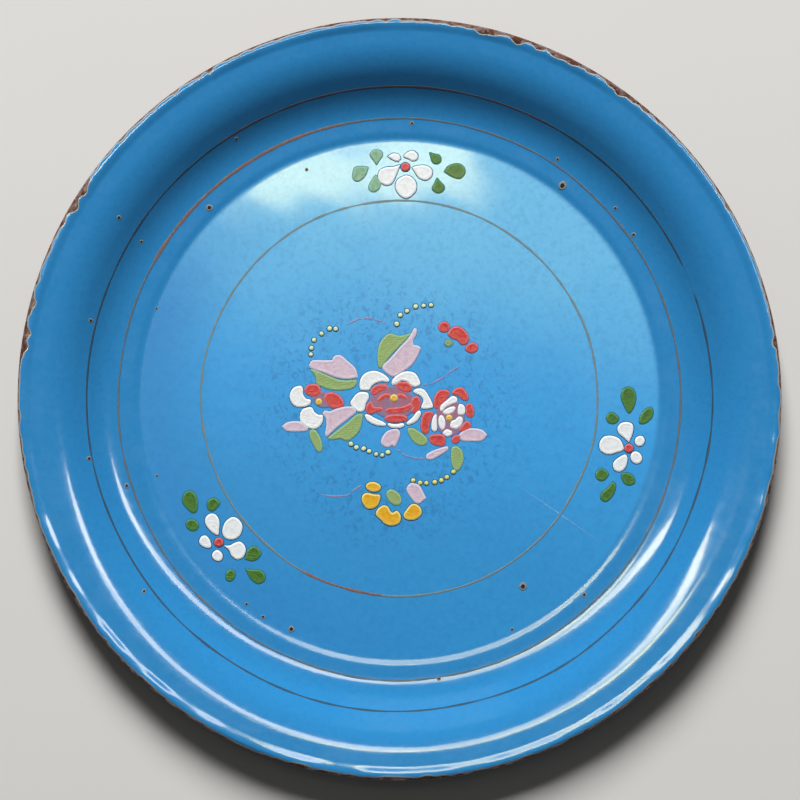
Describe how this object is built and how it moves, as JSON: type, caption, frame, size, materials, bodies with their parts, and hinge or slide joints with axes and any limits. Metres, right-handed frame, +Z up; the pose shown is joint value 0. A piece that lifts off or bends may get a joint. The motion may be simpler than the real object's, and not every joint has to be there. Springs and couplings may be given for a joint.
{
  "type": "painted tray",
  "caption": "Round steel tray with a rolled rim, coated in blue enamel and painted with gold lines, small sprigs and a bouquet.",
  "frame": {"origin": "middle of the underside's flat base", "axes": "+Z up, out of the dish; +Y towards the top of the painted picture, +X to its right"},
  "size_m": [0.38, 0.38, 0.0193],
  "materials": {
    "bare_steel": "rusted",
    "wire": "dull",
    "blue_enamel": "gloss",
    "dark_enamel": "satin",
    "gold_paint": "satin",
    "white_paint": "satin",
    "red_paint": "satin",
    "yellow_paint": "satin",
    "green_paint": "satin",
    "pink_paint": "satin"
  },
  "bodies": {
    "root": {"steel_pan": "bare_steel", "rim_wire": "wire", "face_enamel": "blue_enamel", "back_enamel_base": "dark_enamel", "back_enamel_wall": "dark_enamel", "gold_line_inner": "gold_paint", "gold_line_middle": "gold_paint", "gold_line_outer": "gold_paint", "sprig_top_flower": "white_paint", "sprig_top_leaf_a1": "green_paint", "sprig_top_leaf_a2": "green_paint", "sprig_top_leaf_a3": "green_paint", "sprig_top_leaf_b1": "green_paint", "sprig_top_leaf_b2": "green_paint", "sprig_top_leaf_b3": "green_paint", "sprig_left_flower": "white_paint", "sprig_left_leaf_a1": "green_paint", "sprig_left_leaf_a2": "green_paint", "sprig_left_leaf_a3": "green_paint", "sprig_left_leaf_b1": "green_paint", "sprig_left_leaf_b2": "green_paint", "sprig_left_leaf_b3": "green_paint", "sprig_right_flower": "white_paint", "sprig_right_leaf_a1": "green_paint", "sprig_right_leaf_a2": "green_paint", "sprig_right_leaf_a3": "green_paint", "sprig_right_leaf_b1": "green_paint", "sprig_right_leaf_b2": "green_paint", "sprig_right_leaf_b3": "green_paint", "bouquet_middle_flower": "white_paint", "bouquet_left_flower": "pink_paint", "bouquet_right_flower": "yellow_paint", "bouquet_leaf_top": "green_paint", "bouquet_leaf_upper_left": "green_paint", "bouquet_leaf_lower_left": "green_paint", "bouquet_leaf_bottom": "green_paint", "bouquet_leaf_right": "green_paint"}
  },
  "joints": []
}
